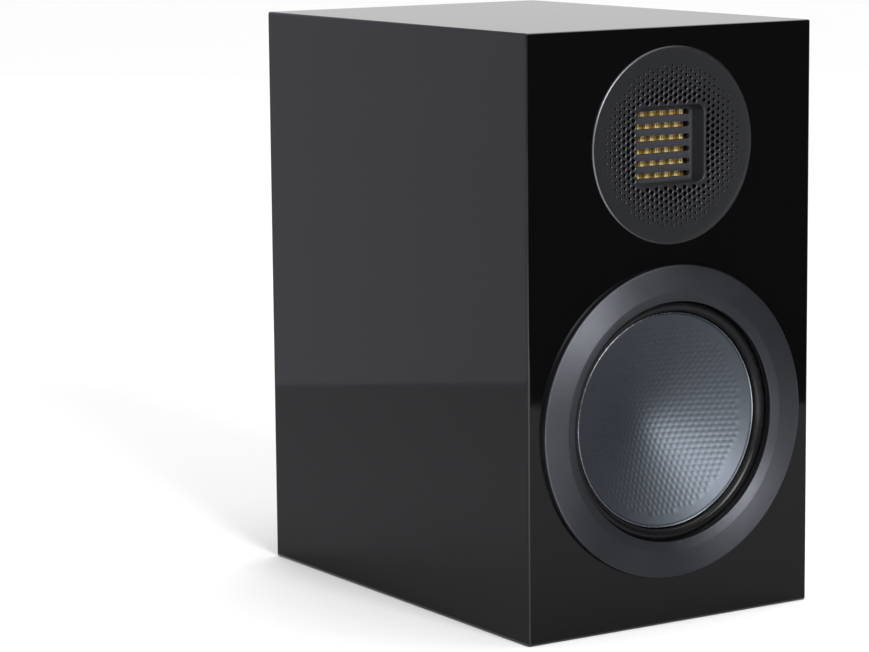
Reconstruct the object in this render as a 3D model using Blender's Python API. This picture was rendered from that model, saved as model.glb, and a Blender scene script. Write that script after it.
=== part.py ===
"""A compact two-way bookshelf loudspeaker, built as it comes apart on a bench.

Metres, +Z up. The front baffle faces -Y. The origin is the middle of the underside, which
rests on a shelf. Depths of the drive units are measured inwards from the baffle's front face.
"""

import math

import bmesh
import bpy
from mathutils import Matrix, Vector

# Cabinet
WIDTH = 0.180
DEPTH = 0.256
HEIGHT = 0.311
BAFFLE = 0.020
PANEL = 0.015
EDGE = 0.0012
GAP = 0.0003

FRONT = -DEPTH / 2
BACK = DEPTH / 2
INNER_X = WIDTH / 2 - PANEL
INNER_FRONT = FRONT + BAFFLE
INNER_BACK = BACK - PANEL
BRACE_Y = -0.040
BRACE = 0.012

# Woofer
WOOFER_Z = 0.107
RING_R = 0.0818
RING_LIP_R = 0.0630
RING_BACK = 0.0015
FLANGE_BACK = 0.0060
BASKET_R = 0.0657
LANDING_R = 0.0640
LANDING_DEPTH = 0.0046
CONE_R = 0.0568
CONE_RIM_DEPTH = 0.0044
CONE_CENTRE_DEPTH = 0.0254
CONE_ROUNDING = 0.015
CONE_WALL = 0.0010
ROLL_R = 0.0604
ROLL_OUTER = 0.0033
ROLL_INNER = 0.0026
FORMER_R = 0.0160
SPIDER_DEPTH = 0.0304
MOTOR_DEPTH = 0.0363
MAGNET_R = 0.0450

# Tweeter
TWEETER_Z = 0.2504
FACEPLATE_R = 0.0507
DISH_R = 0.0430
WINDOW = 0.0380
WINDOW_DEPTH = 0.0081
GRID_SIZE = 0.0430
SLOT_PITCH = 0.00636
SLOT_HEIGHT = 0.0027
SLOT_LENGTH = 0.0346
SLOTS = 6
PLEAT_PITCH = 0.0031
PLEATS = 11
CHASSIS_R = 0.0425
CHASSIS_INNER_R = 0.0390
CHASSIS_BACK = 0.0230
CHAMBER_R = 0.0360
CHAMBER_BACK = 0.0450
TWEETER_SCREW_R = 0.0408

# Reflex port
PORT_Z = 0.245
PORT_R = 0.0170
PORT_WALL = 0.0025
PORT_LENGTH = 0.100

# Terminals
TERMINAL_Z = 0.052
TERMINAL_PLATE = (0.080, 0.058, 0.003)
POST_X = 0.019
STEM_R = 0.0030
KNOB_R = 0.0075
KNOB_LENGTH = 0.0166
KNOB_FLUTES = 12

ALONG_Y = (-math.pi / 2, 0, 0)
TURN = 2 * math.pi
ROUND = 40
ROUND_RIM = 48

FINISHES = {
    "black_lacquer": ((0.006, 0.006, 0.007), 0.08, 0.0),
    "raw_board": ((0.42, 0.30, 0.18), 0.70, 0.0),
    "gunmetal": ((0.09, 0.095, 0.105), 0.32, 0.9),
    "cast_alloy": ((0.10, 0.10, 0.11), 0.45, 0.8),
    "cone_alloy": ((0.16, 0.19, 0.23), 0.35, 0.8),
    "black_rubber": ((0.012, 0.012, 0.013), 0.45, 0.0),
    "foam": ((0.02, 0.02, 0.02), 0.90, 0.0),
    "former_film": ((0.35, 0.22, 0.06), 0.35, 0.0),
    "copper": ((0.70, 0.32, 0.16), 0.35, 1.0),
    "spider_cloth": ((0.45, 0.33, 0.12), 0.85, 0.0),
    "plated_steel": ((0.55, 0.56, 0.58), 0.30, 1.0),
    "ferrite": ((0.05, 0.05, 0.055), 0.60, 0.0),
    "faceplate_metal": ((0.03, 0.031, 0.034), 0.38, 0.5),
    "black_plastic": ((0.015, 0.015, 0.016), 0.45, 0.0),
    "gold_film": ((0.72, 0.42, 0.08), 0.30, 0.9),
    "felt": ((0.30, 0.30, 0.29), 0.95, 0.0),
    "gold_plate": ((0.80, 0.55, 0.18), 0.22, 1.0),
    "red_plastic": ((0.35, 0.01, 0.01), 0.35, 0.0),
    "board_green": ((0.02, 0.10, 0.05), 0.50, 0.0),
    "capacitor_film": ((0.05, 0.07, 0.22), 0.40, 0.0),
    "ceramic": ((0.75, 0.73, 0.68), 0.60, 0.0),
    "lead_sheath": ((0.02, 0.02, 0.02), 0.50, 0.0),
}


# ---------------------------------------------------------------- tools

def clear_scene():
    for obj in list(bpy.data.objects):
        bpy.data.objects.remove(obj)


def finish(name):
    """The material of that name, made the first time it is asked for."""
    material = bpy.data.materials.get(name)
    if material:
        return material
    colour, roughness, metallic = FINISHES[name]
    material = bpy.data.materials.new(name)
    material.use_nodes = True
    shader = material.node_tree.nodes["Principled BSDF"]
    shader.inputs["Base Color"].default_value = (*colour, 1)
    shader.inputs["Roughness"].default_value = roughness
    shader.inputs["Metallic"].default_value = metallic
    material.diffuse_color = (*colour, 1)
    return material


def add_object(name, shape, material=None, place=(0, 0, 0), turned_to=(0, 0, 0), smooth=None):
    """An object from a bmesh or from curve data. One with no material is a hidden cutter."""
    data = shape
    if isinstance(shape, bmesh.types.BMesh):
        bmesh.ops.recalc_face_normals(shape, faces=shape.faces[:])
        data = bpy.data.meshes.new(name)
        shape.to_mesh(data)
        shape.free()
    obj = bpy.data.objects.new(name, data)
    obj.location = place
    obj.rotation_euler = turned_to
    bpy.context.scene.collection.objects.link(obj)
    if material is None:
        obj.hide_render = True
        obj.display_type = "WIRE"
        return obj
    data.materials.append(finish(material))
    if smooth:
        data.shade_smooth()
        data.set_sharp_from_angle(angle=math.radians(smooth))
    return obj


def block_mesh(low, high):
    low, high = Vector(low), Vector(high)
    shape = bmesh.new()
    placed = Matrix.Translation((low + high) / 2) @ Matrix.Diagonal((*(high - low), 1))
    bmesh.ops.create_cube(shape, size=1, matrix=placed)
    return shape


def block(name, low, high, material=None):
    return add_object(name, block_mesh(low, high), material)


def faced_panel(name, low, high, outer_y):
    """A full-face panel whose outer edges, those at outer_y, are eased by EDGE."""
    shape = block_mesh(low, high)
    outer = [e for e in shape.edges if all(abs(v.co.y - outer_y) < GAP for v in e.verts)]
    bmesh.ops.bevel(shape, geom=outer, offset=EDGE, segments=3, profile=0.5, affect="EDGES")
    return add_object(name, shape, "black_lacquer")


def turned(name, profile, material=None, place=(0, 0, 0), turned_to=ALONG_Y, steps=ROUND):
    """A profile of (radius, height) points spun about the local Z axis.

    A profile that starts and ends on the axis is an open chain, any other is a closed ring.
    """
    shape = bmesh.new()
    points = [shape.verts.new((radius, 0, height)) for radius, height in profile]
    chain = list(zip(points, points[1:]))
    if profile[0][0] > 0:
        chain.append((points[-1], points[0]))
    edges = [shape.edges.new(pair) for pair in chain]
    bmesh.ops.spin(
        shape, geom=points + edges, cent=(0, 0, 0), axis=(0, 0, 1), angle=TURN, steps=steps
    )
    bmesh.ops.remove_doubles(shape, verts=shape.verts[:], dist=1e-6)
    return add_object(name, shape, material, place, turned_to, smooth=30)


def extruded(name, outline, height, material=None, place=(0, 0, 0), turned_to=ALONG_Y):
    """A flat outline of (x, y) points, raised by height along the local Z axis."""
    shape = bmesh.new()
    face = shape.faces.new([shape.verts.new((x, y, 0)) for x, y in outline])
    raised = bmesh.ops.extrude_face_region(shape, geom=[face])["geom"]
    moved = [item for item in raised if isinstance(item, bmesh.types.BMVert)]
    bmesh.ops.translate(shape, verts=moved, vec=(0, 0, height))
    return add_object(name, shape, material, place, turned_to, smooth=30)


def rounded_outline(width, height, radius, segments=6):
    """A rectangle about the origin with quarter-circle corners."""
    outline = []
    corners = ((1, 1, 0), (-1, 1, 90), (-1, -1, 180), (1, -1, 270))
    for side_x, side_y, first in corners:
        for step in range(segments + 1):
            angle = math.radians(first + 90 * step / segments)
            x = side_x * (width / 2 - radius) + radius * math.cos(angle)
            y = side_y * (height / 2 - radius) + radius * math.sin(angle)
            outline.append((x, y))
    return outline


def cut(target, *cutters):
    for cutter in cutters:
        modifier = target.modifiers.new(cutter.name, "BOOLEAN")
        modifier.operation = "DIFFERENCE"
        modifier.solver = "EXACT"
        modifier.object = cutter


def join(target, other):
    """Unites other with target, and hides other."""
    modifier = target.modifiers.new(other.name, "BOOLEAN")
    modifier.operation = "UNION"
    modifier.solver = "EXACT"
    modifier.object = other


def hole(name, radius, place, length, turned_to=ALONG_Y, steps=16):
    """A round cutter that starts at place and runs along the turned Z axis."""
    profile = [(0, 0), (radius, 0), (radius, length), (0, length)]
    return turned(name, profile, None, place, turned_to, steps)


def smooth_route(points, per_span):
    """Points along a Catmull-Rom curve through the given ones."""
    ends = [2 * points[0] - points[1], *points, 2 * points[-1] - points[-2]]
    route = []
    for before, start, end, after in zip(ends, ends[1:], ends[2:], ends[3:]):
        for step in range(per_span):
            t = step / per_span
            route.append(
                0.5 * (2 * start + (end - before) * t
                       + (2 * before - 5 * start + 4 * end - after) * t ** 2
                       + (3 * start - before - 3 * end + after) * t ** 3)
            )
    return route + [points[-1]]


def lead(name, points, radius=0.0018):
    """A flexible two-core lead inside the cabinet."""
    route = smooth_route([Vector(point) for point in points], per_span=4)
    curve = bpy.data.curves.new(name, "CURVE")
    curve.dimensions = "3D"
    curve.bevel_depth = radius
    curve.bevel_resolution = 2
    curve.use_fill_caps = True
    spline = curve.splines.new("POLY")
    spline.points.add(len(route) - 1)
    for point, place in zip(spline.points, route):
        point.co = (*place, 1)
    return add_object(name, curve, "lead_sheath")


def at_front(height, across=0.0, depth=0.0):
    return (across, FRONT + depth, height)


# ---------------------------------------------------------------- cabinet

def build_cabinet():
    """Two sides, top and bottom between a full-face baffle and a full-face rear panel."""
    for side, name in ((-1, "left_side_panel"), (1, "right_side_panel")):
        x = sorted((side * INNER_X, side * WIDTH / 2))
        low = (x[0], INNER_FRONT + GAP, 0)
        high = (x[1], INNER_BACK - GAP, HEIGHT)
        block(name, low, high, "black_lacquer")
    for name, z in (("bottom_panel", 0), ("top_panel", HEIGHT - PANEL)):
        low = (-INNER_X + GAP, INNER_FRONT + GAP, z)
        high = (INNER_X - GAP, INNER_BACK - GAP, z + PANEL)
        block(name, low, high, "black_lacquer")

    baffle = faced_panel(
        "front_baffle", (-WIDTH / 2, FRONT, 0), (WIDTH / 2, INNER_FRONT, HEIGHT), FRONT
    )
    cut(
        baffle,
        seat_cutter("woofer_seat", WOOFER_Z, RING_R, FLANGE_BACK, BASKET_R),
        seat_cutter("tweeter_seat", TWEETER_Z, FACEPLATE_R, 0.0030, 0.0440),
    )
    rear = faced_panel(
        "rear_panel", (-WIDTH / 2, INNER_BACK, 0), (WIDTH / 2, BACK, HEIGHT), BACK
    )
    start = INNER_BACK - PANEL
    opening = block(
        "terminal_opening",
        (-0.026, start, TERMINAL_Z - 0.015),
        (0.026, BACK + PANEL, TERMINAL_Z + 0.015),
    )
    cut(
        rear,
        hole("port_opening", 0.0262, (0, start, PORT_Z), 3 * PANEL, steps=ROUND),
        hole("bolt_opening", 0.0045, (0, start, WOOFER_Z), 3 * PANEL),
        opening,
    )
    for number, (x, z) in enumerate(plate_screw_places()):
        cut(rear, hole(f"plate_pilot_{number}", 0.0018, (x, BACK - 0.013, z), 2 * PANEL))

    brace = block(
        "window_brace",
        (-INNER_X + GAP, BRACE_Y, PANEL + GAP),
        (INNER_X - GAP, BRACE_Y + BRACE, HEIGHT - PANEL - GAP),
        "raw_board",
    )
    for name, z, height in (("lower_window", 0.095, 0.110), ("upper_window", 0.222, 0.100)):
        outline = rounded_outline(0.116, height, 0.015)
        cut(brace, extruded(name, outline, 3 * BRACE, place=(0, BRACE_Y - BRACE, z)))

    for side, name in ((-1, "damping_pad_left"), (1, "damping_pad_right")):
        x = sorted((side * (INNER_X - 0.0075), side * (INNER_X - GAP)))
        block(name, (x[0], -0.022, 0.030), (x[1], 0.108, 0.285), "felt")


def seat_cutter(name, height, rim, rebate, through):
    """A stepped round cutter: a rebate for a driver's rim and a hole for its body."""
    profile = [
        (0, -PANEL),
        (rim + GAP, -PANEL),
        (rim + GAP, rebate + GAP),
        (through + GAP, rebate + GAP),
        (through + GAP, BAFFLE + PANEL),
        (0, BAFFLE + PANEL),
    ]
    return turned(name, profile, None, at_front(height), steps=ROUND_RIM)


# ---------------------------------------------------------------- woofer

def cone_depth(radius):
    """Depth of the dished cone's front, a hyperbola that is nearly straight at the rim."""
    rise = math.hypot(radius, CONE_ROUNDING) - CONE_ROUNDING
    rim_rise = math.hypot(CONE_R, CONE_ROUNDING) - CONE_ROUNDING
    return CONE_CENTRE_DEPTH - (CONE_CENTRE_DEPTH - CONE_RIM_DEPTH) * rise / rim_rise


def build_woofer():
    centre = at_front(WOOFER_Z)
    turned(
        "woofer_trim_ring",
        [
            (RING_R, RING_BACK),
            (RING_R, -0.0026),
            (RING_R - 0.0006, -0.0032),
            (0.0681, -0.0037),
            (RING_LIP_R, -0.0024),
            (RING_LIP_R, GAP),
            (RING_LIP_R + 0.0025, RING_BACK),
        ],
        "gunmetal",
        centre,
        steps=ROUND_RIM,
    )
    build_basket(centre)
    turned("woofer_gasket", tube_profile(0.0645, 0.0695, 0.0018, 0.0032), "foam", centre)
    build_surround(centre)

    radii = [CONE_R * step / 8 for step in range(9)]
    front = [(radius, cone_depth(radius)) for radius in radii]
    rear = [(radius, depth + CONE_WALL) for radius, depth in reversed(front)]
    turned("woofer_cone", front + rear, "cone_alloy", centre)

    former_top = cone_depth(FORMER_R) + CONE_WALL + GAP
    former = tube_profile(FORMER_R - 0.0004, FORMER_R, former_top, 0.0480)
    turned("voice_coil_former", former, "former_film", centre, steps=24)
    winding = tube_profile(FORMER_R + GAP, FORMER_R + 0.0011, 0.0355, 0.0465)
    turned("voice_coil_winding", winding, "copper", centre, steps=24)
    build_spider(centre)

    top_plate = tube_profile(0.0176, MAGNET_R - 0.002, MOTOR_DEPTH, MOTOR_DEPTH + 0.006)
    turned("woofer_top_plate", top_plate, "plated_steel", centre)
    magnet = tube_profile(0.0200, MAGNET_R, MOTOR_DEPTH + 0.0063, MOTOR_DEPTH + 0.0237)
    turned("woofer_magnet", magnet, "ferrite", centre)
    plate_front = MOTOR_DEPTH + 0.0240
    plate_back = plate_front + 0.006
    turned(
        "pole_and_back_plate",
        [
            (0, MOTOR_DEPTH),
            (FORMER_R - 0.0008, MOTOR_DEPTH),
            (FORMER_R - 0.0008, plate_front),
            (MAGNET_R - 0.002, plate_front),
            (MAGNET_R - 0.002, plate_back),
            (0.0043, plate_back),
            (0.0043, plate_back - 0.012),
            (0, plate_back - 0.012),
        ],
        "plated_steel",
        centre,
    )
    block(
        "woofer_terminal_strip",
        (MAGNET_R - 0.0017, FRONT + MOTOR_DEPTH + GAP, WOOFER_Z - 0.010),
        (MAGNET_R + 0.0013, FRONT + MOTOR_DEPTH + 0.0057, WOOFER_Z + 0.010),
        "black_plastic",
    )
    build_clamp_bolt(FRONT + plate_back - 0.010)


def tube_profile(inner, outer, start, end):
    return [(outer, start), (outer, end), (inner, end), (inner, start)]


def build_basket(centre):
    """A cast basket: flange, sloping wall with six windows, spider ledge and motor seat."""
    basket = turned(
        "woofer_basket",
        [
            (LANDING_R, LANDING_DEPTH),
            (0.0700, LANDING_DEPTH),
            (0.0700, RING_BACK + GAP),
            (RING_R - GAP, RING_BACK + GAP),
            (RING_R - GAP, FLANGE_BACK),
            (BASKET_R, FLANGE_BACK),
            (BASKET_R, 0.0130),
            (0.0480, MOTOR_DEPTH - GAP),
            (0.0300, MOTOR_DEPTH - GAP),
            (0.0300, 0.0340),
            (0.0400, 0.0340),
            (0.0400, SPIDER_DEPTH + 0.0006),
            (0.0460, SPIDER_DEPTH + 0.0006),
            (LANDING_R, 0.0122),
        ],
        "cast_alloy",
        centre,
    )
    for number in range(3):
        window = block_mesh((-0.080, -0.017, 0.0155), (0.080, 0.017, 0.0285))
        turn = Matrix.Rotation(math.radians(60 * number), 3, "Z")
        bmesh.ops.rotate(window, verts=window.verts[:], cent=(0, 0, 0), matrix=turn)
        cut(basket, add_object(f"basket_window_{number}", window, None, centre, ALONG_Y))


def build_surround(centre):
    """A half-roll of rubber from the cone's rim to the basket's landing."""
    crown = CONE_RIM_DEPTH
    outer = arc(ROLL_R, crown, ROLL_OUTER, 180, 0, 6)
    inner = arc(ROLL_R, crown, ROLL_INNER, 0, 180, 6)
    lip_front = LANDING_DEPTH - GAP - 0.0007
    lip = [
        (ROLL_R + ROLL_OUTER, lip_front),
        (0.0692, lip_front),
        (0.0692, LANDING_DEPTH - GAP),
        (ROLL_R + ROLL_OUTER - 0.0002, LANDING_DEPTH - GAP),
    ]
    turned("woofer_surround", outer[:-1] + lip + inner[1:], "black_rubber", centre)


def arc(radius, depth, size, first, last, segments):
    """Points on a half circle that bulges towards the front."""
    points = []
    for step in range(segments + 1):
        angle = math.radians(first + (last - first) * step / segments)
        points.append((radius + size * math.cos(angle), depth - size * math.sin(angle)))
    return points


def build_spider(centre):
    """A corrugated cloth disc from the former to the basket's ledge."""
    inner, outer, waves, wall, swing = FORMER_R + 0.0014, 0.0455, 3, 0.0005, 0.0011
    first, last = inner + 0.003, 0.0395
    front = [(inner, SPIDER_DEPTH)]
    for step in range(2 * waves + 1):
        radius = first + (last - first) * step / (2 * waves)
        offset = 0 if step in (0, 2 * waves) else swing * (1 if step % 2 else -1)
        front.append((radius, SPIDER_DEPTH - offset))
    front.append((outer, SPIDER_DEPTH - 0.0002))
    rear = [(radius, depth + wall) for radius, depth in reversed(front)]
    turned("woofer_spider", front + rear, "spider_cloth", centre, steps=24)


def build_clamp_bolt(start):
    """The long bolt that pulls the woofer's motor towards the rear panel, and its washer."""
    washer = tube_profile(0.0046, 0.0100, 0, 0.0015)
    turned("clamp_bolt_washer", washer, "plated_steel", (0, BACK + GAP, WOOFER_Z), steps=24)
    head_start = BACK + 2 * GAP + 0.0015 - start
    head_end = head_start + 0.006
    shaft_r, head_r = 0.0040, 0.0065
    profile = [
        (0, 0),
        (shaft_r, 0),
        (shaft_r, head_start),
        (head_r, head_start),
        (head_r, head_end - 0.0006),
        (head_r - 0.0006, head_end),
        (0, head_end),
    ]
    bolt = turned("woofer_clamp_bolt", profile, "plated_steel", (0, start, WOOFER_Z), steps=24)
    socket_place = (0, start + head_end - 0.0035, WOOFER_Z)
    cut(bolt, hole("hex_socket", 0.0033, socket_place, 0.010, steps=6))


# ---------------------------------------------------------------- tweeter

def build_tweeter():
    centre = at_front(TWEETER_Z)
    build_faceplate(centre)
    gasket = tube_profile(0.0445, 0.0500, 0.0020, 0.0030)
    turned("tweeter_gasket", gasket, "foam", centre)

    chassis = turned(
        "tweeter_chassis",
        [
            (0, CHASSIS_BACK),
            (CHASSIS_R, CHASSIS_BACK),
            (CHASSIS_R, 0.0035),
            (CHASSIS_INNER_R, 0.0035),
            (CHASSIS_INNER_R, CHASSIS_BACK - 0.0025),
            (0, CHASSIS_BACK - 0.0025),
        ],
        "black_plastic",
        centre,
    )
    cut(chassis, slab("chassis_window", WINDOW, WINDOW, 0.015, 0.030))

    for name, front in (("front_pole_grid", 0.0084), ("rear_pole_grid", 0.0168)):
        build_pole_grid(name, front)
    frame = slab("diaphragm_frame", 0.047, 0.047, 0.0130, 0.0142, "black_plastic")
    opening_width = PLEATS * PLEAT_PITCH + 0.0012
    cut(frame, slab("diaphragm_opening", opening_width, 0.0395, 0.010, 0.020))
    build_diaphragm()

    for side, name in ((-1, "tweeter_magnet_left"), (1, "tweeter_magnet_right")):
        x = sorted((side * 0.0245, side * 0.0315))
        low = (x[0], FRONT + 0.0088, TWEETER_Z - 0.020)
        high = (x[1], FRONT + 0.0192, TWEETER_Z + 0.020)
        block(name, low, high, "plated_steel")

    turned(
        "tweeter_rear_chamber",
        [
            (0, CHAMBER_BACK),
            (CHAMBER_R, CHAMBER_BACK),
            (CHAMBER_R, CHASSIS_BACK + GAP),
            (CHAMBER_R - 0.002, CHASSIS_BACK + GAP),
            (CHAMBER_R - 0.002, CHAMBER_BACK - 0.002),
            (0, CHAMBER_BACK - 0.002),
        ],
        "black_plastic",
        centre,
    )
    felt = [(0, 0.033), (0.0335, 0.033), (0.0335, 0.0427), (0, 0.0427)]
    turned("chamber_felt", felt, "felt", centre, steps=24)

    for number in range(4):
        x, z = on_circle(TWEETER_SCREW_R, 45 + 90 * number, TWEETER_Z)
        cut(chassis, hole(f"screw_way_{number}", 0.0013, at_front(z, x, -0.010), 0.050))
        cut(
            bpy.data.objects["tweeter_faceplate"],
            hole(f"screw_pilot_{number}", 0.0013, at_front(z, x, 0.0004), 0.010),
        )
        head = CHASSIS_BACK + GAP
        profile = [
            (0, 0.0008),
            (0.0010, 0.0008),
            (0.0010, head),
            (0.0019, head),
            (0.0019, head + 0.0013),
            (0, head + 0.0013),
        ]
        screw_name = f"faceplate_screw_{number + 1}"
        turned(screw_name, profile, "plated_steel", at_front(z, x), steps=12)


def on_circle(radius, degrees, height):
    angle = math.radians(degrees)
    return radius * math.cos(angle), height + radius * math.sin(angle)


def slab(name, width, height, start, end, material=None):
    """A flat block centred on the tweeter's axis, between two depths."""
    low = (-width / 2, FRONT + start, TWEETER_Z - height / 2)
    high = (width / 2, FRONT + end, TWEETER_Z + height / 2)
    return block(name, low, high, material)


def build_faceplate(centre):
    """A round dished plate with a square throat that leads to the diaphragm."""
    plate = turned(
        "tweeter_faceplate",
        [
            (0, 0.0014),
            (0.0210, 0.0014),
            (DISH_R, -0.0003),
            (0.0488, -0.0008),
            (0.0500, -0.0011),
            (FACEPLATE_R, -0.0006),
            (FACEPLATE_R, 0.0017),
            (0.0440, 0.0017),
            (CHASSIS_R, 0.0032),
            (0, 0.0032),
        ],
        "faceplate_metal",
        centre,
        steps=ROUND_RIM,
    )
    join(plate, slab("throat_block", GRID_SIZE, GRID_SIZE, 0.0025, WINDOW_DEPTH))
    cut(plate, slab("throat_opening", WINDOW, WINDOW, -0.010, 0.020))


def build_pole_grid(name, front):
    """A steel plate with horizontal slots that let the sound through."""
    grid = slab(name, GRID_SIZE, GRID_SIZE, front, front + 0.0025, "black_plastic")
    outline = rounded_outline(SLOT_LENGTH, SLOT_HEIGHT, SLOT_HEIGHT / 2 - 0.00005, segments=3)
    for number in range(SLOTS):
        z = TWEETER_Z + (number - (SLOTS - 1) / 2) * SLOT_PITCH
        place = at_front(z, 0, front - 0.002)
        cut(grid, extruded(f"{name}_slot_{number}", outline, 0.006, place=place))


def build_diaphragm():
    """A sheet folded into vertical pleats."""
    fold, wall, height = 0.0018, 0.0003, 0.0388
    front = []
    for step in range(2 * PLEATS + 1):
        x = (step / 2 - PLEATS / 2) * PLEAT_PITCH
        front.append((x, fold / 2 if step % 2 else -fold / 2))
    rear = [(x, y - wall) for x, y in reversed(front)]
    place = (0, FRONT + 0.0137, TWEETER_Z - height / 2)
    extruded("tweeter_diaphragm", front + rear, height, "gold_film", place, (0, 0, 0))


# ---------------------------------------------------------------- rear

def build_port():
    """A flared reflex tube, flanged on the outside of the rear panel."""
    outer = PORT_R + PORT_WALL
    tail = BACK - PORT_LENGTH
    profile = [
        (PORT_R, tail),
        (outer, tail),
        (outer, 0.1105),
        (0.0259, 0.1230),
        (0.0259, BACK + GAP),
        (0.0305, BACK + GAP),
        (0.0300, BACK + 0.0020),
        (0.0252, BACK + 0.0020),
        (0.0240, BACK + 0.0010),
        (0.0205, 0.1245),
        (0.0180, 0.1175),
        (PORT_R, 0.1080),
    ]
    turned("port_tube", profile, "black_plastic", (0, 0, PORT_Z), steps=32)


def plate_screw_places():
    """The (x, z) places of the terminal plate's four corner screws."""
    half_x = TERMINAL_PLATE[0] / 2 - 0.007
    half_z = TERMINAL_PLATE[1] / 2 - 0.007
    return [(x, TERMINAL_Z + z) for x in (-half_x, half_x) for z in (-half_z, half_z)]


def build_terminals():
    """A plate with one pair of binding posts, each a stem, a washer and a screwed knob."""
    width, height, thickness = TERMINAL_PLATE
    plate_front = BACK + GAP
    plate_back = plate_front + thickness
    plate = extruded(
        "terminal_plate",
        rounded_outline(width, height, 0.006),
        thickness,
        "black_plastic",
        (0, plate_front, TERMINAL_Z),
    )
    for number, (x, z) in enumerate(plate_screw_places()):
        cut(plate, hole(f"plate_screw_way_{number}", 0.0018, (x, BACK - 0.005, z), 0.020))
        head = plate_back + GAP
        profile = [
            (0, BACK - 0.0115),
            (0.0014, BACK - 0.0115),
            (0.0014, head),
            (0.0030, head),
            (0.0028, head + 0.0008),
            (0.0020, head + 0.0014),
            (0, head + 0.0014),
        ]
        screw = f"terminal_plate_screw_{number + 1}"
        turned(screw, profile, "plated_steel", (x, 0, z), steps=16)

    collar = plate_back + GAP
    collar_end = collar + 0.003
    stem_end = collar_end + 0.0174
    for side, name, colour in ((-1, "negative", "black_plastic"), (1, "positive", "red_plastic")):
        place = (side * POST_X, 0, TERMINAL_Z)
        way = (side * POST_X, BACK - 0.005, TERMINAL_Z)
        cut(plate, hole(f"{name}_post_way", STEM_R + GAP, way, 0.020))
        stem = [
            (0, BACK - 0.013),
            (STEM_R, BACK - 0.013),
            (STEM_R, BACK - 0.0045),
            (0.0060, BACK - 0.0045),
            (0.0060, BACK),
            (STEM_R, BACK),
            (STEM_R, collar),
            (0.0070, collar),
            (0.0070, collar_end),
            (STEM_R, collar_end),
            (STEM_R, stem_end),
            (0.0020, stem_end),
            (0.0020, stem_end - 0.014),
            (0, stem_end - 0.014),
        ]
        turned(f"{name}_post_stem", stem, "gold_plate", place, steps=16)
        washer = tube_profile(STEM_R + 0.0004, 0.0066, collar_end + GAP, collar_end + 0.0015)
        turned(f"{name}_post_washer", washer, "gold_plate", place, steps=16)
        build_knob(f"{name}_post_knob", colour, side * POST_X, collar_end + 0.0018)


def build_knob(name, material, x, start):
    """A fluted knob with a clear bore for the stem."""
    outline = []
    points = 4 * KNOB_FLUTES
    for step in range(points):
        angle = TURN * step / points
        radius = KNOB_R - 0.0003 + 0.0003 * math.cos(KNOB_FLUTES * angle)
        outline.append((radius * math.cos(angle), radius * math.sin(angle)))
    place = (x, start, TERMINAL_Z)
    knob = extruded(name, outline, KNOB_LENGTH, material, place)
    bore_place = (x, start - 0.005, TERMINAL_Z)
    cut(knob, hole(f"{name}_bore", STEM_R + 0.0004, bore_place, 0.030, steps=16))


# ---------------------------------------------------------------- crossover

def build_crossover():
    """A board on the bottom panel with its coils, capacitors and resistor."""
    base = PANEL + GAP
    top = base + 0.0016
    part_base = top + GAP
    block("crossover_board", (-0.055, -0.020, base), (0.055, 0.095, top), "board_green")
    upright = (0, 0, 0)
    woofer_coil = tube_profile(0.0090, 0.0210, 0, 0.018)
    turned("woofer_inductor", woofer_coil, "copper", (-0.027, 0.010, part_base), upright, 24)
    tweeter_coil = tube_profile(0.0060, 0.0130, 0, 0.012)
    turned("tweeter_inductor", tweeter_coil, "copper", (0.030, 0.012, part_base), upright, 24)
    for name, radius, length, x in (
        ("woofer_capacitor", 0.0095, 0.036, -0.033),
        ("tweeter_capacitor", 0.0070, 0.030, 0.001),
    ):
        body = [(0, 0), (radius, 0), (radius, length), (0, length)]
        place = (x, 0.042, part_base + radius)
        turned(name, body, "capacitor_film", place, steps=24)
    block("tweeter_resistor", (0.026, 0.040, part_base), (0.035, 0.080, part_base + 0.009), "ceramic")


def build_leads():
    board = PANEL + 0.0045
    lead("input_lead", [
        (0.000, BACK - 0.010, TERMINAL_Z),
        (0.000, 0.108, TERMINAL_Z - 0.004),
        (-0.006, 0.099, 0.034),
        (-0.012, 0.088, board),
    ])
    lead("woofer_lead", [
        (0.040, -0.010, board),
        (0.044, -0.026, 0.042),
        (0.052, -0.050, 0.066),
        (0.059, -0.072, 0.090),
        (0.057, -0.086, 0.105),
        (MAGNET_R + 0.0040, -0.0890, WOOFER_Z),
    ])
    lead("tweeter_lead", [
        (-0.045, -0.013, board + 0.0005),
        (-0.049, -0.026, 0.050),
        (-0.054, -0.044, 0.110),
        (-0.058, -0.054, 0.170),
        (-0.048, -0.066, 0.220),
        (-0.022, FRONT + CHAMBER_BACK + 0.006, 0.247),
        (-0.010, FRONT + CHAMBER_BACK + 0.0025, TWEETER_Z),
    ])


clear_scene()
build_cabinet()
build_woofer()
build_tweeter()
build_port()
build_terminals()
build_crossover()
build_leads()
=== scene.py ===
import math

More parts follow.
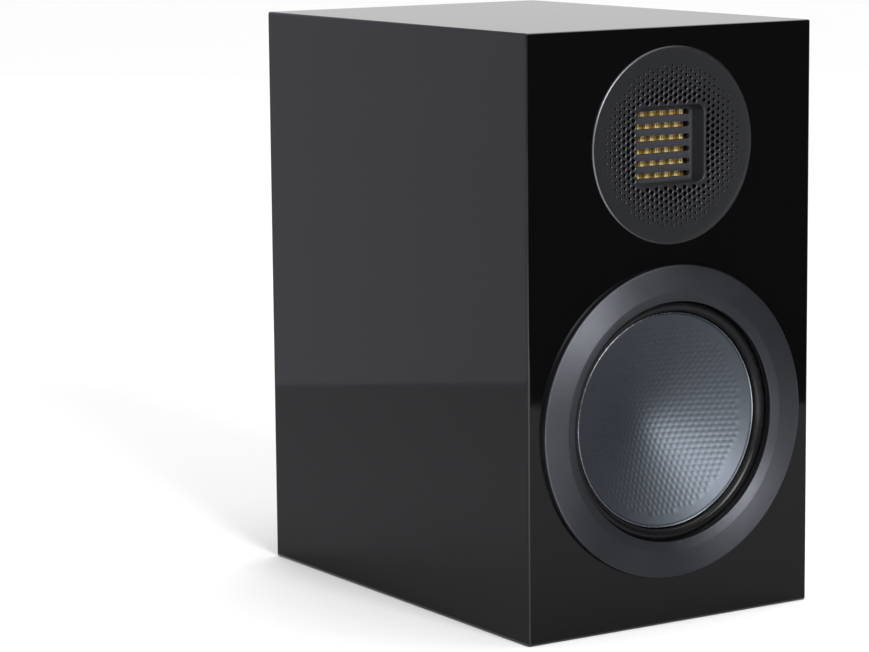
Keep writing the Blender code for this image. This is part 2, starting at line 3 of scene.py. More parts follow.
import bmesh
import bpy
from mathutils import Matrix, Vector
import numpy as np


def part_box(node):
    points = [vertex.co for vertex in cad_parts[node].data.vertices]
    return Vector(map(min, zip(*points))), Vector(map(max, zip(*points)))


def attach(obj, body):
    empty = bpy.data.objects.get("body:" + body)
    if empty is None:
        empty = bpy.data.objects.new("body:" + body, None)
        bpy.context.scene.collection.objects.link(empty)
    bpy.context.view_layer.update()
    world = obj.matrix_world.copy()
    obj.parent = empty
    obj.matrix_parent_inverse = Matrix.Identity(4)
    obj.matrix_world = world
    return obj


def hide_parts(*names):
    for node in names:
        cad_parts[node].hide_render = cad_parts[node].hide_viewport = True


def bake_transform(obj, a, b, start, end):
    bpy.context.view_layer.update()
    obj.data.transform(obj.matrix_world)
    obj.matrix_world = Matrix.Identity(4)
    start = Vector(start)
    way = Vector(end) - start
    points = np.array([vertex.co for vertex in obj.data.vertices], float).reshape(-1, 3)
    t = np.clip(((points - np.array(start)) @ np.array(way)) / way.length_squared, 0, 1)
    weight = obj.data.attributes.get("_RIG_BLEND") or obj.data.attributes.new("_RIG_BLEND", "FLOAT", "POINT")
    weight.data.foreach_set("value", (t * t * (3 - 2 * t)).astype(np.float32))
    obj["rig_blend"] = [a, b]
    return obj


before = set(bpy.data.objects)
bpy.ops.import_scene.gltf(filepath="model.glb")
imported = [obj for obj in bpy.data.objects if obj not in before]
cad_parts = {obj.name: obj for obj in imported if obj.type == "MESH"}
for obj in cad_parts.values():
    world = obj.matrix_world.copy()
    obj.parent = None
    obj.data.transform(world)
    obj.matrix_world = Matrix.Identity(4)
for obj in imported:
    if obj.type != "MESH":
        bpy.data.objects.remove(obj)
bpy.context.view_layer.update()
scene = bpy.context.scene
scene.view_settings.view_transform = "Standard"


# ---- Camera
# A long lens about 1.8 m from the cabinet, a little above it and off to its left, so that the
# front, the left side and a sliver of the top show.
HEADING = math.radians(-32.699)
DOWN = math.radians(8.805)
ROLL = math.radians(-0.544)
STAND = (-0.9858, -1.4371, 0.4113)


def linked(name, data):
    """A new object of that data, in the scene."""
    made = bpy.data.objects.new(name, data)
    scene.collection.objects.link(made)
    return made


ahead = Vector((
    -math.sin(HEADING) * math.cos(DOWN),
    math.cos(HEADING) * math.cos(DOWN),
    -math.sin(DOWN),
))
level = Vector((math.cos(HEADING), math.sin(HEADING), 0))
above = level.cross(ahead)
across = math.cos(ROLL) * level + math.sin(ROLL) * above
upward = math.cos(ROLL) * above - math.sin(ROLL) * level
camera_data = bpy.data.cameras.new("camera")
camera_data.sensor_width = 36
camera_data.lens = 133.04
camera = linked("camera", camera_data)
axes = Matrix((across, upward, -ahead)).transposed()
camera.matrix_world = Matrix.Translation(STAND) @ axes.to_4x4()
scene.camera = camera


# ---- Studio: floor, reflection cards and lights
# A seamless pale floor under an even white surround, a softbox in front, a faint one behind and a
# broad light from above. Black and grey cards stand out of the camera's sight, so that the gloss
# lacquer mirrors them and not a white room.
FLOOR = 30.0
FLOOR_TONE = (0.90, 0.90, 0.90)
CARD_LIFT = 0.001
SURROUND_STRENGTH = 0.60


def stage_sheet(name, corners, colour, seen=False):
    """A matt sheet of the studio. One that isn't seen shows only in reflections."""
    mesh = bpy.data.meshes.new(name)
    mesh.from_pydata(corners, [], [(0, 1, 2, 3)])
    matt = bpy.data.materials.new(name)
    matt.use_nodes = True
    shader = matt.node_tree.nodes["Principled BSDF"]
    shader.inputs["Base Color"].default_value = (*colour, 1)
    shader.inputs["Roughness"].default_value = 0.85
    shader.inputs["Specular IOR Level"].default_value = 0.1
    mesh.materials.append(matt)
    sheet = linked(name, mesh)
    sheet.visible_camera = seen
    sheet.visible_shadow = seen
    sheet.visible_diffuse = seen


def flat_corners(low, high, lift=0.0):
    return [
        (low[0], low[1], lift), (high[0], low[1], lift), (high[0], high[1], lift),
        (low[0], high[1], lift),
    ]


def upright_card(name, place, facing, width, height, colour):
    """A card that stands on the floor at `place`, turned to face the direction `facing`."""
    along = Vector((facing[1], -facing[0], 0)).normalized() * width / 2
    foot = Vector((*place, 0))
    head = Vector((*place, height))
    stage_sheet(name, [foot - along, foot + along, head + along, head - along], colour)


def light(name, kind, power, place, aim, **shape):
    """A lamp at `place` that shines along `aim`."""
    lamp = bpy.data.lights.new(name, kind)
    lamp.energy = power
    for setting, value in shape.items():
        setattr(lamp, setting, value)
    turn = Vector(aim).to_track_quat("-Z", "Y").to_matrix().to_4x4()
    linked(name, lamp).matrix_world = Matrix.Translation(place) @ turn


stage_sheet("floor", flat_corners((-FLOOR, -FLOOR), (FLOOR, FLOOR)), FLOOR_TONE, seen=True)
upright_card("card_front", (0.386, -0.634), (-0.53, 0.83), 2.2, 1.4, (0.003, 0.003, 0.003))
front_floor = flat_corners((-0.088, -1.5), (1.2, -0.129), CARD_LIFT)
stage_sheet("card_front_floor", front_floor, (0.24, 0.24, 0.25))
side_floor = flat_corners((-1.6, -0.127), (-0.091, 1.6), CARD_LIFT)
stage_sheet("card_side_floor", side_floor, (0.28, 0.28, 0.295))
upright_card("card_side", (-0.486, 0.546), (0.53, -0.83), 2.4, 1.6, (0.385, 0.39, 0.43))

surround = bpy.data.worlds.new("surround")
surround.use_nodes = True
surround.node_tree.nodes["Background"].inputs["Color"].default_value = (1, 1, 1, 1)
surround.node_tree.nodes["Background"].inputs["Strength"].default_value = SURROUND_STRENGTH
scene.world = surround

light(
    "front_key", "AREA", 36, (-0.20, -1.70, 1.00), (0.20, 1.60, -0.88),
    shape="RECTANGLE", size=0.75, size_y=0.55,
)
light(
    "back_wash", "AREA", 3, (1.9, 3.0, 0.9), (-1.9, -3.0, -0.6),
    shape="RECTANGLE", size=4.0, size_y=1.8,
)
light("ceiling", "SUN", 1.75, (0, 0, 0), (-0.5, -0.25, -1), angle=math.radians(75))


# ---- Cabinet shell
# Fibreboard panels glued at the edges, filled, sanded and sprayed in black gloss lacquer,
# so the joints don't show. Each driver sits in a routed seat. The inside is left raw.
class Wire:
    """A node's output. Arithmetic on it adds the Math node that works it out."""

    def __init__(self, net, socket):
        self.net = net
        self.socket = socket

    def __add__(self, other):
        return self.net.maths("ADD", self, other)

    def __radd__(self, other):
        return self.net.maths("ADD", other, self)

    def __sub__(self, other):
        return self.net.maths("SUBTRACT", self, other)

    def __rsub__(self, other):
        return self.net.maths("SUBTRACT", other, self)

    def __mul__(self, other):
        return self.net.maths("MULTIPLY", self, other)

    def __rmul__(self, other):
        return self.net.maths("MULTIPLY", other, self)

    def __truediv__(self, other):
        return self.net.maths("DIVIDE", self, other)

    def __rtruediv__(self, other):
        return self.net.maths("DIVIDE", other, self)

    def __pow__(self, other):
        return self.net.maths("POWER", self, other)

    def __gt__(self, other):
        return self.net.maths("GREATER_THAN", self, other)

    def __lt__(self, other):
        return self.net.maths("LESS_THAN", self, other)


class Net:
    """A node tree that is being wired, for a finish or for a shape."""

    def __init__(self, tree):
        self.tree = tree

    def node(self, kind, settings=None, sockets=None, output=0):
        made = self.tree.nodes.new(kind)
        for name, value in (settings or {}).items():
            setattr(made, name, value)
        for name, value in (sockets or {}).items():
            self.feed(made.inputs[name], value)
        return Wire(self, made.outputs[output])

    def feed(self, socket, value):
        for one in value if isinstance(value, list) else [value]:
            if isinstance(one, Wire):
                self.tree.links.new(one.socket, socket)
            else:
                socket.default_value = one

    def maths(self, operation, *values):
        return self.node("ShaderNodeMath", {"operation": operation}, dict(enumerate(values)))

    def vector(self, operation, *values, output=0):
        return self.node(
            "ShaderNodeVectorMath", {"operation": operation}, dict(enumerate(values)), output
        )

    def split(self, vector, axis):
        return self.node("ShaderNodeSeparateXYZ", None, {0: vector}, axis)

    def join(self, x, y, z):
        return self.node("ShaderNodeCombineXYZ", None, {0: x, 1: y, 2: z})

    def distance(self, x, y):
        return self.maths("SQRT", x * x + y * y)

    def between(self, value, low, high, at_low, at_high):
        sockets = {
            "Value": value, "From Min": low, "From Max": high, "To Min": at_low, "To Max": at_high
        }
        return self.node("ShaderNodeMapRange", None, sockets)


class Finish(Net):
    """A material: a Principled shader with its plain values, and whatever varies wired to it."""

    def __init__(self, name, colour, roughness, metallic=0.0, **plain):
        self.material = bpy.data.materials.new(name)
        self.material.use_nodes = True
        super().__init__(self.material.node_tree)
        self.shader = self.tree.nodes["Principled BSDF"]
        self.wear(Base_Color=(*colour, 1), Roughness=roughness, Metallic=metallic, **plain)

    def wear(self, **sockets):
        for name, value in sockets.items():
            self.feed(self.shader.inputs[name.replace("_", " ")], value)

    def place(self):
        return self.node("ShaderNodeTexCoord", output=3)

    def noise(self, scale, detail=3.0):
        sockets = {"Vector": self.place(), "Scale": scale, "Detail": detail}
        return self.node("ShaderNodeTexNoise", None, sockets)

    def blended(self, share, first, second):
        colours = [value if isinstance(value, Wire) else (*value, 1) for value in (first, second)]
        return self.node(
            "ShaderNodeMix", {"data_type": "RGBA"}, {0: share, 6: colours[0], 7: colours[1]}, 2
        )

    def tinted(self, share, first, second):
        """Colour that goes from the first to the second with `share`."""
        self.wear(Base_Color=self.blended(share, first, second))

    def roughened(self, noise, least, most):
        """Roughness that wanders between two values with a noise."""
        self.wear(Roughness=self.between(noise, 0.3, 0.7, least, most))

    def relief(self, height, distance, strength=1.0):
        """Bump of that height in metres, wired to the normal."""
        sockets = {"Height": height, "Distance": distance, "Strength": strength}
        self.wear(Normal=self.node("ShaderNodeBump", None, sockets))


def height_of(node):
    """The height of the middle of a frame node."""
    low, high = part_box(node)
    return round((low.z + high.z) / 2, 6)


FRONT = round(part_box("front_baffle")[0].y, 6)
BACK = round(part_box("rear_panel")[1].y, 6)
HALF_WIDTH = round(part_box("right_side_panel")[1].x, 6)
HEIGHT = round(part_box("top_panel")[1].z, 6)
WOOFER_Z = height_of("woofer_trim_ring")
TWEETER_Z = height_of("tweeter_faceplate")
PORT_Z = height_of("port_tube")
TERMINAL_Z = height_of("terminal_plate")
EDGE = 0.0012
PAINTED = 0.0005


def from_bmesh(name, work):
    mesh = bpy.data.meshes.new(name)
    work.to_mesh(mesh)
    work.free()
    return mesh


def block(name, low, high, ease=0.0):
    """A block between two corners, its edges rounded by `ease`."""
    work = bmesh.new()
    bmesh.ops.create_cube(work, size=1)
    size = [b - a for a, b in zip(low, high)]
    middle = [(a + b) / 2 for a, b in zip(low, high)]
    bmesh.ops.scale(work, vec=size, verts=work.verts)
    bmesh.ops.translate(work, vec=middle, verts=work.verts)
    if ease:
        bmesh.ops.bevel(
            work, geom=work.edges[:], offset=ease, segments=5, profile=0.5, affect="EDGES"
        )
    return from_bmesh(name, work)


def eased(profile, ease, steps=3, closed=True):
    """The profile with its corners rounded, each by at most 0.4 of its shorter side."""
    points = [Vector(point) for point in profile]
    rounded = []
    for index, corner in enumerate(points):
        before = points[index - 1]
        after = points[(index + 1) % len(points)]
        if not closed and index in (0, len(points) - 1):
            rounded.append(corner)
            continue
        reach = min(ease, 0.4 * (before - corner).length, 0.4 * (after - corner).length)
        start = corner + (before - corner).normalized() * reach
        end = corner + (after - corner).normalized() * reach
        for step in range(steps + 1):
            t = step / steps
            rounded.append(start * (1 - t) ** 2 + corner * 2 * t * (1 - t) + end * t * t)
    return rounded


def turned(name, profile, height, x=0.0, segments=144, closed=True):
    """A turned shape about the front-to-back line through (x, height), from (radius, y) points."""
    work = bmesh.new()
    rings = []
    for radius, y in profile:
        if radius < 1e-7:
            rings.append([work.verts.new((x, y, height))])
            continue
        turns = [2 * math.pi * step / segments for step in range(segments)]
        rings.append([
            work.verts.new((x + radius * math.cos(turn), y, height + radius * math.sin(turn)))
            for turn in turns
        ])
    pairs = list(zip(rings, rings[1:]))
    if closed:
        pairs.append((rings[-1], rings[0]))
    for first, second in pairs:
        for step in range(segments):
            following = (step + 1) % segments
            corners = []
            square = ((first, step), (first, following), (second, following), (second, step))
            for ring, place in square:
                vert = ring[place % len(ring)] if len(ring) > 1 else ring[0]
                if vert not in corners:
                    corners.append(vert)
            if len(corners) > 2:
                work.faces.new(corners)
    if closed:
        bmesh.ops.recalc_face_normals(work, faces=work.faces)
    return from_bmesh(name, work)


def at_front(profile):
    return [(radius, FRONT + depth) for radius, depth in profile]


def sharpened(mesh, angle=35):
    mesh.polygons.foreach_set("use_smooth", [True] * len(mesh.polygons))
    mesh.set_sharp_from_angle(angle=math.radians(angle))


def placed(name, mesh, materials, body, slot_name, *nodes):
    """The finished piece: its materials, the body it rides on, and the frame nodes it stands for."""
    for index, material in enumerate(materials):
        if index < len(mesh.materials):
            mesh.materials[index] = material
        else:
            mesh.materials.append(material)
    made = linked(name, mesh)
    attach(made, body)
    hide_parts(*nodes)


def settled(carrier):
    """The carrier's mesh with its modifiers worked in. The carrier is thrown away."""
    graph = bpy.context.evaluated_depsgraph_get()
    mesh = bpy.data.meshes.new_from_object(carrier.evaluated_get(graph), depsgraph=graph)
    bpy.data.objects.remove(carrier)
    return mesh


def carved(mesh, cutters):
    """The mesh with each closed cutter taken out of it."""
    body = linked("body", mesh)
    tools = [linked("tool", cutter) for cutter in cutters]
    for tool in tools:
        cut = body.modifiers.new("cut", "BOOLEAN")
        cut.object = tool
        cut.solver = "EXACT"
    result = settled(body)
    for tool in tools:
        bpy.data.objects.remove(tool)
    return result


def drill(name, radius, start, end, height, segments=96):
    rod = [(0, start), (radius, start), (radius, end), (0, end)]
    return turned(name, rod, height, segments=segments)


shell = block("lacquered_shell", (-HALF_WIDTH, FRONT, 0), (HALF_WIDTH, BACK, HEIGHT), EDGE)
shell = carved(shell, [
    block("hollow", (-0.0747, -0.108, 0.0153), (0.0747, 0.113, 0.2957)),
    drill("woofer_seat", 0.0821, FRONT - 0.005, FRONT + 0.0063, WOOFER_Z, 144),
    drill("woofer_bore", 0.0660, FRONT, -0.100, WOOFER_Z),
    drill("tweeter_seat", 0.0510, FRONT - 0.005, FRONT + 0.0033, TWEETER_Z, 144),
    drill("tweeter_bore", 0.0443, FRONT, -0.100, TWEETER_Z),
    drill("port_hole", 0.0262, 0.105, 0.135, PORT_Z),
    drill("bolt_hole", 0.0045, 0.105, 0.135, WOOFER_Z, 32),
    block("terminal_opening", (-0.026, 0.105, 0.037), (0.026, 0.135, 0.067)),
])
for face in shell.polygons:
    middle = face.center
    raw = abs(middle.x) < HALF_WIDTH - PAINTED and PAINTED < middle.z < HEIGHT - PAINTED
    face.material_index = int(raw and FRONT + PAINTED < middle.y < BACK - PAINTED)
sharpened(shell, 30)
for face in shell.polygons:
    if face.area > 2e-4:
        face.use_smooth = False

lacquer = Finish("black_gloss_lacquer", (0.0018, 0.0018, 0.002), 0.05)
lacquer.roughened(lacquer.noise(26, 4), 0.035, 0.055)
lacquer.relief(lacquer.noise(170, 1), 0.00002, 0.10)

board = Finish("raw_fibreboard", (0.40, 0.28, 0.17), 0.9)
fibres = board.noise(900, 4)
board.tinted(fibres, (0.30, 0.20, 0.115), (0.50, 0.37, 0.24))
board.relief(fibres, 0.0002, 0.6)

placed(
    "lacquered_shell", shell, [lacquer.material, board.material], "cabinet", "black_lacquer",
    "front_baffle", "left_side_panel", "right_side_panel", "top_panel", "bottom_panel", "rear_panel",
)


# ---- Woofer trim ring
# A turned aluminium ring pressed over the basket's flange. Its face was spun against fine grit,
# which leaves circular marks, then dyed dark grey.
def from_line(finish, height):
    """How far across and up from the front-to-back line at that height, and the distance from it."""
    place = finish.place()
    out_x = finish.split(place, 0)
    out_z = finish.split(place, 2) - height
    return out_x, out_z, finish.distance(out_x, out_z)


def circled(finish, height, pitch, depth):
    """Tilts the normal in and out along the radius, as fine circular tool marks do."""
    out_x, out_z, radius = from_line(finish, height)
    marks = finish.maths("PINGPONG", radius / pitch, 0.5) * 2
    lean = (marks - 0.5) * depth / radius
    tilt = finish.join(out_x * lean, 0, out_z * lean)
    normal = finish.node("ShaderNodeNewGeometry", output=1)
    finish.wear(Normal=finish.vector("NORMALIZE", finish.vector("ADD", normal, tilt)))


gunmetal = Finish("gunmetal_turned", (0.14, 0.15, 0.17), 0.40, 1.0)
circled(gunmetal, WOOFER_Z, 0.0003, 1.25)
worn = gunmetal.noise(40, 5)
gunmetal.tinted(worn, (0.094, 0.100, 0.113), (0.110, 0.116, 0.130))
gunmetal.roughened(worn, 0.36, 0.43)

ring_profile = [
    (0.0818, 0.0015), (0.0818, -0.0026), (0.0812, -0.0032), (0.0681, -0.0037),
    (0.0630, -0.0024), (0.0630, 0.0003), (0.0655, 0.0015),
]
ring = turned("woofer_ring", at_front(eased(ring_profile, 0.00035)), WOOFER_Z, segments=192)
sharpened(ring)
placed("woofer_ring", ring, [gunmetal.material], "cabinet", "gunmetal_ring", "woofer_trim_ring")


# ---- Woofer cone
# Spun aluminium, pressed all over with a close pattern of small round dimples that stiffen it,
# with a plain band and a rolled bead at the rim, then anodised blue-grey.
CONE_R = 0.0568
DIMPLED_R = 0.0517
CONE_MIDDLE = 0.0254
CONE_RISE = 0.0210
CONE_NOSE = 0.015
CONE_REACH = math.hypot(CONE_R, CONE_NOSE) - CONE_NOSE
CONE_WALL = 0.0011
WELD = 0.00001


def cone_depth(radius):
    """How far behind the baffle's front the cone lies: a hyperbola with a blunt nose."""
    return CONE_MIDDLE - CONE_RISE * ((math.hypot(radius, CONE_NOSE) - CONE_NOSE) / CONE_REACH)


def new_tree(name, **sizes):
    """A Geometry Nodes tree that takes a mesh and gives one, with a named input for each size."""
    tree = bpy.data.node_groups.new(name, "GeometryNodeTree")
    tree.interface.new_socket("Geometry", in_out="INPUT", socket_type="NodeSocketGeometry")
    tree.interface.new_socket("Geometry", in_out="OUTPUT", socket_type="NodeSocketGeometry")
    for size, value in sizes.items():
        kind = "NodeSocketInt" if isinstance(value, int) else "NodeSocketFloat"
        tree.interface.new_socket(size.replace("_", " "), in_out="INPUT", socket_type=kind)
    net = Net(tree)
    source = tree.nodes.new("NodeGroupInput")
    given = {
        socket.name.replace(" ", "_"): Wire(net, socket) for socket in source.outputs if socket.name
    }
    return net, given


def grown(net, shape, base, materials=(), **sizes):
    """Runs the tree on the mesh `base`, with its sizes set by identifier, and gives the plain mesh,
    whose faces number their materials in the order given."""
    last = net.tree.nodes.new("NodeGroupOutput")
    net.feed(last.inputs[0], shape)
    carrier = linked("carrier", base)
    step = carrier.modifiers.new("grow", "NODES")
    step.node_group = net.tree
    for item in net.tree.interface.items_tree:
        if item.in_out == "INPUT" and item.name.replace(" ", "_") in sizes:
            step[item.identifier] = sizes[item.name.replace(" ", "_")]
    mesh = settled(carrier)
    order = [materials.index(made) if made in materials else 0 for made in mesh.materials]
    for face in mesh.polygons:
        face.material_index = order[face.material_index] if order else 0
    return mesh


def hex_points(net, given):
    """Points in rows, with every other row moved along by half a pitch."""
    pitch = given["Pitch"]
    row = given["Row"]
    sockets = {
        "Size X": pitch * (given["Across"] - 1), "Size Y": row * (given["Rows"] - 1),
        "Vertices X": given["Across"], "Vertices Y": given["Rows"],
    }
    grid = net.node("GeometryNodeMeshGrid", None, sockets)
    number = net.maths("ROUND", net.split(net.node("GeometryNodeInputPosition"), 1) / row)
    shift = net.maths("PINGPONG", number, 1.0) * pitch * 0.5
    sockets = {"Geometry": grid, "Offset": net.join(shift, 0, 0)}
    return net.node("GeometryNodeSetPosition", None, sockets)


def kept_points(net, points, keep):
    return net.node("GeometryNodeDeleteGeometry", None, {"Geometry": points, "Selection": 1 - keep})


def sunk(net, sides, stages):
    """A pit one unit in radius and depth that points down, from (depth step, scale) stages.
    The faces of its last stage carry the mark "deep"."""
    sockets = {"Vertices": sides, "Radius": 1.0}
    shape = net.node("GeometryNodeMeshCircle", {"fill_type": "NGON"}, sockets)
    top = None
    for drop, narrowing in stages:
        sockets = {"Mesh": shape, "Offset Scale": -drop, "Individual": False}
        if top:
            sockets["Selection"] = top
        extruded = net.node("GeometryNodeExtrudeMesh", None, sockets)
        top = Wire(net, extruded.socket.node.outputs["Top"])
        side = Wire(net, extruded.socket.node.outputs["Side"])
        sockets = {"Geometry": extruded, "Selection": top, "Scale": narrowing}
        shape = net.node("GeometryNodeScaleElements", None, sockets)
    return net.node(
        "GeometryNodeStoreNamedAttribute", {"data_type": "FLOAT", "domain": "FACE"},
        {"Geometry": shape, "Name": "deep", "Value": net.maths("MAXIMUM", top, side)},
    )


def pierced(net, points, given, sides, radius, depth, pit, turn=0.0):
    """The flat sheet inside the outlines that go in, with a hole and a pit at every point."""
    sockets = {"Resolution": sides, "Radius": 1.0}
    circle = net.node("GeometryNodeCurvePrimitiveCircle", None, sockets)
    size = net.join(radius, radius, depth)
    placing = {"Points": points, "Scale": size, "Rotation": (0, 0, turn)}
    holes = net.node("GeometryNodeInstanceOnPoints", None, {**placing, "Instance": circle})
    holes = net.node("GeometryNodeRealizeInstances", None, {"Geometry": holes})
    pits = net.node("GeometryNodeInstanceOnPoints", None, {**placing, "Instance": pit})
    pits = net.node("GeometryNodeRealizeInstances", None, {"Geometry": pits})
    rim = net.node("GeometryNodeMeshToCurve", None, {"Mesh": given["Geometry"]})
    outlines = net.node("GeometryNodeJoinGeometry", None, {"Geometry": [rim, holes]})
    sheet = net.node("GeometryNodeFillCurve", None, {"Curve": outlines})
    both = net.node("GeometryNodeJoinGeometry", None, {"Geometry": [sheet, pits]})
    return net.node("GeometryNodeMergeByDistance", None, {"Geometry": both, "Distance": WELD})


def moved_to(net, shape, position):
    return net.node("GeometryNodeSetPosition", None, {"Geometry": shape, "Position": position})


def solid(net, shape, material):
    """The end of a tree: its instances made real, in their material."""
    shape = net.node("GeometryNodeRealizeInstances", None, {"Geometry": shape})
    return net.node("GeometryNodeSetMaterial", None, {"Geometry": shape, "Material": material})


def flat_outline(*loops):
    """Closed edge loops at height 0, from lists of (x, y)."""
    mesh = bpy.data.meshes.new("outline")
    points = [(x, y, 0) for loop in loops for x, y in loop]
    edges = []
    start = 0
    for loop in loops:
        edges += [(start + step, start + (step + 1) % len(loop)) for step in range(len(loop))]
        start += len(loop)
    mesh.from_pydata(points, edges, [])
    return mesh


def circle_points(radius, segments=144):
    turns = [2 * math.pi * step / segments for step in range(segments)]
    return [(radius * math.cos(turn), radius * math.sin(turn)) for turn in turns]


def welded(name, meshes, gap=WELD):
    """One closed mesh from several whose edges meet, with its faces turned outwards."""
    work = bmesh.new()
    for mesh in meshes:
        work.from_mesh(mesh)
    bmesh.ops.remove_doubles(work, verts=work.verts, dist=gap)
    bmesh.ops.recalc_face_normals(work, faces=work.faces)
    return from_bmesh(name, work)


anodised = Finish("anodised_cone", (0.16, 0.18, 0.21), 0.48, 1.0)
tint = anodised.noise(60, 3)
anodised.tinted(tint, (0.111, 0.125, 0.147), (0.128, 0.144, 0.167))
anodised.roughened(anodised.noise(2500, 2), 0.49, 0.57)

dimple_sizes = dict(
    Across=32, Rows=37, Pitch=0.00335, Row=0.0029, Field=0.0502, Hole=0.00138, Depth=0.00012,
    Middle=WOOFER_Z,
)
net, given = new_tree("dimpled cone", **dimple_sizes)
points = hex_points(net, given)
reach = net.vector("LENGTH", net.node("GeometryNodeInputPosition"), output=1)
points = kept_points(net, points, reach < given["Field"])
pit = sunk(net, 8, [(0.30, 0.86), (0.42, 0.62), (0.28, 0.36)])
sheet = pierced(net, points, given, 8, given["Hole"], given["Depth"], pit)
place = net.node("GeometryNodeInputPosition")
x, y, z = (net.split(place, axis) for axis in range(3))
rise = (net.maths("SQRT", x * x + y * y + CONE_NOSE ** 2) - CONE_NOSE) / CONE_REACH
bent = net.join(x, FRONT + CONE_MIDDLE - CONE_RISE * rise - z, y + given["Middle"])
sheet = solid(net, moved_to(net, sheet, bent), anodised.material)
dimpled = grown(net, sheet, flat_outline(circle_points(DIMPLED_R)), **dimple_sizes)

plain_band = [(r / 10000, cone_depth(r / 10000)) for r in (517, 525, 533, 541)]
bead = [
    (0.0551, cone_depth(0.0551)), (0.0553, 0.0054), (0.0556, 0.0052), (0.0559, 0.0044),
    (0.0562, 0.0041), (0.0565, 0.0042), (0.0567, 0.0046), (0.0568, 0.0051), (0.0568, 0.0056),
]
behind = [(r / 1000, cone_depth(r / 1000) + CONE_WALL) for r in range(56, -1, -4)]
back = turned("cone_back", at_front(plain_band + bead + behind), WOOFER_Z, closed=False)
cone = welded("cone", [dimpled, back])
sharpened(cone, 40)
bright_edge = Finish("bright_cut_edge", (0.42, 0.44, 0.47), 0.24, 1.0)
bright_edge.roughened(bright_edge.noise(900, 3), 0.20, 0.30)
for face in cone.polygons:
    out = math.hypot(face.center.x, face.center.z - WOOFER_Z)
    face.material_index = int(out > 0.05555 and face.center.y < FRONT + 0.0048)
placed(
    "dimpled_cone", cone, [anodised.material, bright_edge.material], "woofer_motion", "cone_alloy",
    "woofer_cone",
)


# ---- Woofer surround
# A half roll of satin black rubber. Its inner lip is glued to the cone's rim and its outer lip is
# held under the trim ring, so it rolls as the cone moves.
ROLL_R = 0.0604


def rolled(outer, steps, forwards):
    turns = [math.pi * step / steps for step in range(steps + 1)]
    points = [(ROLL_R - outer * math.cos(turn), 0.0044 - outer * math.sin(turn)) for turn in turns]
    return points if forwards else points[::-1]


surround_profile = rolled(0.0033, 18, True) + [(0.0665, 0.0036), (0.0692, 0.0036), (0.0692, 0.0043)]
surround_profile += [(0.0640, 0.0047)] + rolled(0.0026, 14, False)
roll = turned("rubber_surround", at_front(surround_profile), WOOFER_Z)
sharpened(roll, 50)
rubber = Finish("satin_rubber", (0.004, 0.004, 0.0045), 0.36, Specular_IOR_Level=0.4)
grain = rubber.noise(2200, 3)
rubber.roughened(rubber.noise(90, 3), 0.22, 0.30)
rubber.relief(grain, 0.00003, 0.35)


def flexing(name, mesh, material, node, inner, outer):
    """A round piece whose inner edge moves with the cone while its outer edge stays still."""
    mesh.materials.clear()
    mesh.materials.append(material)
    made = linked(name, mesh)
    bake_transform(made, "cabinet", "woofer_motion", start=(0, FRONT, WOOFER_Z), end=(0, BACK, WOOFER_Z))
    share = mesh.attributes["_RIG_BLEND"].data
    for vert in mesh.vertices:
        radius = math.hypot(vert.co.x, vert.co.z - WOOFER_Z)
        t = min(max((outer - radius) / (outer - inner), 0), 1)
        share[vert.index].value = t * t * (3 - 2 * t)
    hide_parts(node)


flexing("rubber_surround", roll, rubber.material, "woofer_surround", 0.0572, 0.0637)


# ---- Woofer basket, motor and spider
# Behind the ring: a powder-coated alloy casting, a foam gasket, a woven damper and a ferrite motor.
# None of it is seen from outside, so the frame's own solids stay and only take their finishes.
def dressed(finish, *nodes):
    for node in nodes:
        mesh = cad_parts[node].data
        if not mesh.materials:
            mesh.materials.append(finish.material)
        for index in range(len(mesh.materials)):
            mesh.materials[index] = finish.material


def spun_marks(finish, height, pitch, depth):
    """Fine circular ridges about the front-to-back line at that height."""
    radius = from_line(finish, height)[2]
    finish.relief(finish.maths("SINE", radius * (2 * math.pi / pitch)), depth, 0.6)


casting = Finish("powder_coated_casting", (0.03, 0.03, 0.032), 0.55, 0.3)
casting.relief(casting.noise(1400, 3), 0.00008, 0.5)
dressed(casting, "woofer_basket")

foam = Finish("closed_cell_foam", (0.02, 0.02, 0.02), 0.95)
cells = foam.node("ShaderNodeTexVoronoi", None, {"Vector": foam.place(), "Scale": 1400.0})
foam.tinted(cells, (0.012, 0.012, 0.012), (0.035, 0.035, 0.035))
foam.relief(cells, 0.0002, 0.6)
dressed(foam, "woofer_gasket", "tweeter_gasket")

ferrite = Finish("sintered_ferrite", (0.045, 0.045, 0.05), 0.7)
pits_seen = ferrite.noise(700, 5)
ferrite.tinted(pits_seen, (0.03, 0.03, 0.034), (0.075, 0.075, 0.08))
ferrite.relief(pits_seen, 0.00015, 0.5)
dressed(ferrite, "woofer_magnet", "tweeter_magnet_left", "tweeter_magnet_right")

steel = Finish("zinc_plated_steel", (0.55, 0.56, 0.58), 0.32, 1.0)
spangle = steel.noise(220, 4)
steel.tinted(spangle, (0.46, 0.47, 0.49), (0.62, 0.63, 0.64))
spun_marks(steel, WOOFER_Z, 0.0006, 0.00001)
dressed(steel, "woofer_top_plate", "pole_and_back_plate", "diaphragm_frame")

film = Finish("amber_film", (0.35, 0.20, 0.05), 0.35)
film.tinted(film.noise(500, 2), (0.28, 0.15, 0.03), (0.42, 0.26, 0.08))
dressed(film, "voice_coil_former")


def crossed(finish, axes, fineness):
    """Threads that cross at right angles, as a height from -1 to 1."""
    place = finish.place()
    one, other = [finish.maths("SINE", finish.split(place, axis) * fineness) for axis in axes]
    return one * other


winding = Finish("enamelled_copper", (0.70, 0.30, 0.13), 0.28, 1.0)
winding.tinted(winding.noise(300, 3), (0.62, 0.24, 0.10), (0.78, 0.37, 0.18))
turn = winding.maths("PINGPONG", winding.split(winding.place(), 1) / 0.0004, 0.5) * 2
winding.relief(1 - (1 - turn) ** 2, 0.00015)
dressed(winding, "voice_coil_winding")

